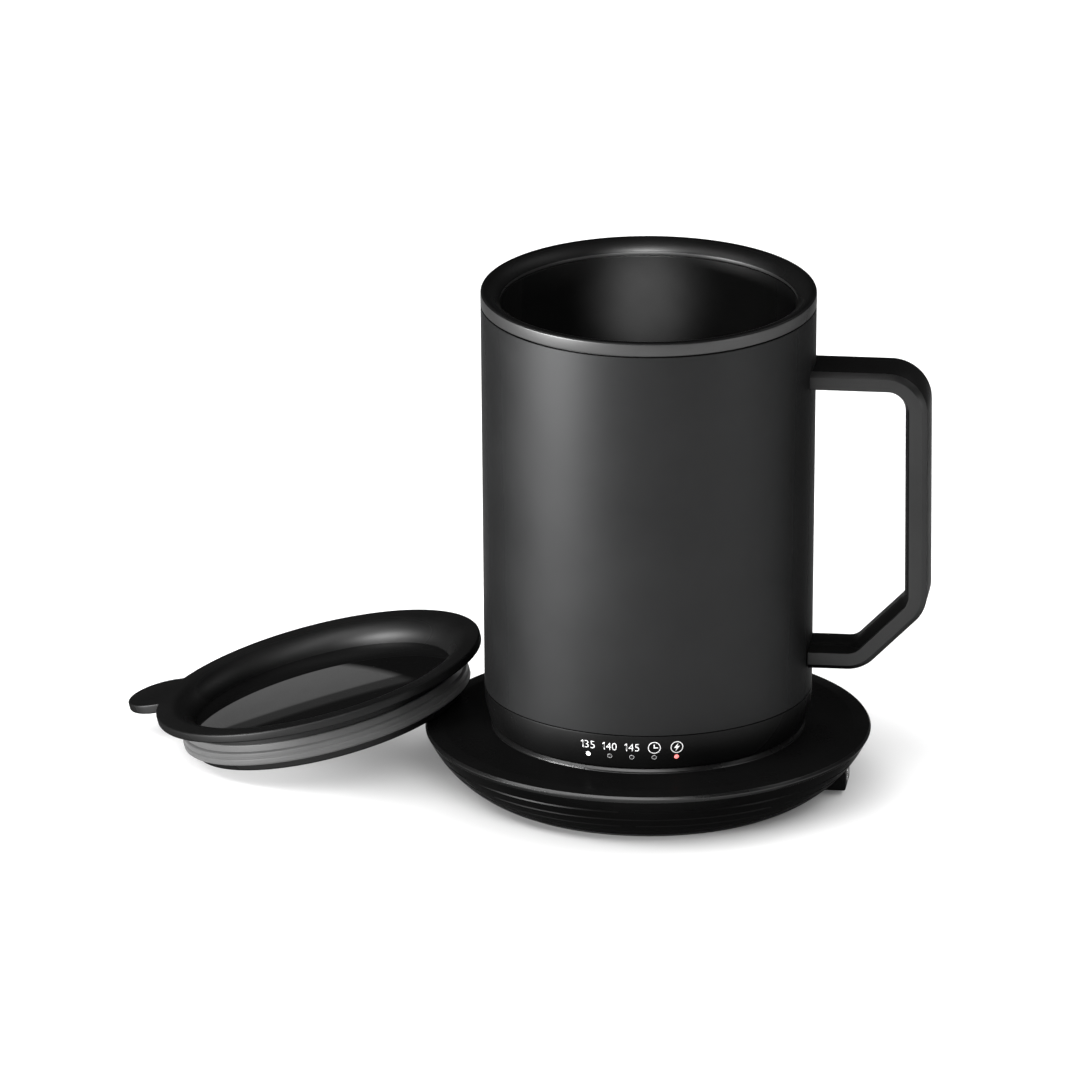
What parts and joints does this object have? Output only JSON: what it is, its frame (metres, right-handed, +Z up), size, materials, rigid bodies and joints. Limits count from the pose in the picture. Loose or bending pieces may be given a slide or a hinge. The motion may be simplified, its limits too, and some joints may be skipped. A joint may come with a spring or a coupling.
{
  "type": "self-heating mug",
  "caption": "Tapered black heated mug with strap handle and indicator lights, standing on a round charging coaster, with its sealed lid leaning on the coaster's rim.",
  "frame": {"origin": "on the table, under the middle of the charging coaster", "axes": "+Z up, +X towards the mug's handle, -Y towards the indicator lights"},
  "size_m": [0.2044, 0.1116, 0.1303],
  "materials": {
    "shell_coat": "matte black coat on steel",
    "rim_metal": "satin grey-black",
    "cup_coat": "satin black coat",
    "base_gloss": "gloss black",
    "black_plastic": "matte black",
    "handle_plastic": "satin black",
    "coaster_gloss": "satin-gloss black",
    "coaster_satin": "satin black",
    "lid_gloss": "gloss black",
    "seal_silicone": "matte grey",
    "black_rubber": "matte black",
    "button_rubber": "matte grey-black",
    "screw_steel": "plain steel",
    "socket_metal": "plated",
    "heater_metal": "plain",
    "heating_film": "amber film",
    "insulation": "felt",
    "tray_plastic": "natural",
    "cell_can": "sleeved can",
    "circuit_board": "solder mask",
    "chip_black": "moulded",
    "led_white": "moulded",
    "light_guide": "clear moulded",
    "contact_brass": "plated",
    "lead_insulation": "smooth"
  },
  "bodies": {
    "coaster": {"coaster_top": "coaster_gloss", "coaster_base": "coaster_satin", "coaster_pad": "black_rubber", "coaster_screws": "screw_steel", "dc_socket": "socket_metal", "inlet_leads": "lead_insulation", "coaster_board": "circuit_board", "pin_holder": "black_plastic", "centre_spring": "screw_steel", "ring_spring": "screw_steel"},
    "centre_pin": {"centre_pin": "contact_brass"},
    "ring_pin": {"ring_pin": "contact_brass"},
    "mug": {"outer_shell": "shell_coat", "rim_ring": "rim_metal", "rim_seal": "black_rubber", "inner_cup": "cup_coat", "base_housing": "base_gloss", "base_seal": "black_rubber", "bottom_cover": "black_plastic", "foot_ring": "black_rubber", "bottom_screws": "screw_steel", "handle": "handle_plastic", "handle_screws": "screw_steel", "heater_plate": "heater_metal", "heating_film": "heating_film", "temperature_sensor": "chip_black", "insulation_pad": "insulation", "battery_tray": "tray_plastic", "battery_cells": "cell_can", "cell_links": "screw_steel", "control_board": "circuit_board", "board_parts": "chip_black", "indicator_board": "circuit_board", "indicator_leds": "led_white", "light_guides": "light_guide", "button_switch": "chip_black", "centre_contact": "contact_brass", "ring_contact": "contact_brass"},
    "button": {"power_button": "button_rubber"},
    "lid": {"lid_cover": "lid_gloss", "lid_base": "lid_gloss", "lid_seal": "seal_silicone"}
  },
  "joints": [
    {"name": "mug_lift", "type": "slide", "parent": "coaster", "child": "mug", "axis": [0, 0, 1], "range_m": [0, 0.08]},
    {"name": "lid_lift", "type": "slide", "parent": "coaster", "child": "lid", "axis": [0, 0, 1], "range_m": [0, 0.08]},
    {"name": "button_press", "type": "slide", "parent": "mug", "child": "button", "axis": [0, 0, 1], "range_m": [0, 0.0005], "stiffness_N_per_m": 600, "springref_m": -0.0005},
    {"name": "centre_pin_press", "type": "slide", "parent": "coaster", "child": "centre_pin", "axis": [0, 0, -1], "range_m": [0, 0.0008], "stiffness_N_per_m": 150, "springref_m": -0.0006, "deforming": ["centre_spring"]},
    {"name": "ring_pin_press", "type": "slide", "parent": "coaster", "child": "ring_pin", "axis": [0, 0, -1], "range_m": [0, 0.0008], "stiffness_N_per_m": 150, "springref_m": -0.0006, "deforming": ["ring_spring"]}
  ]
}
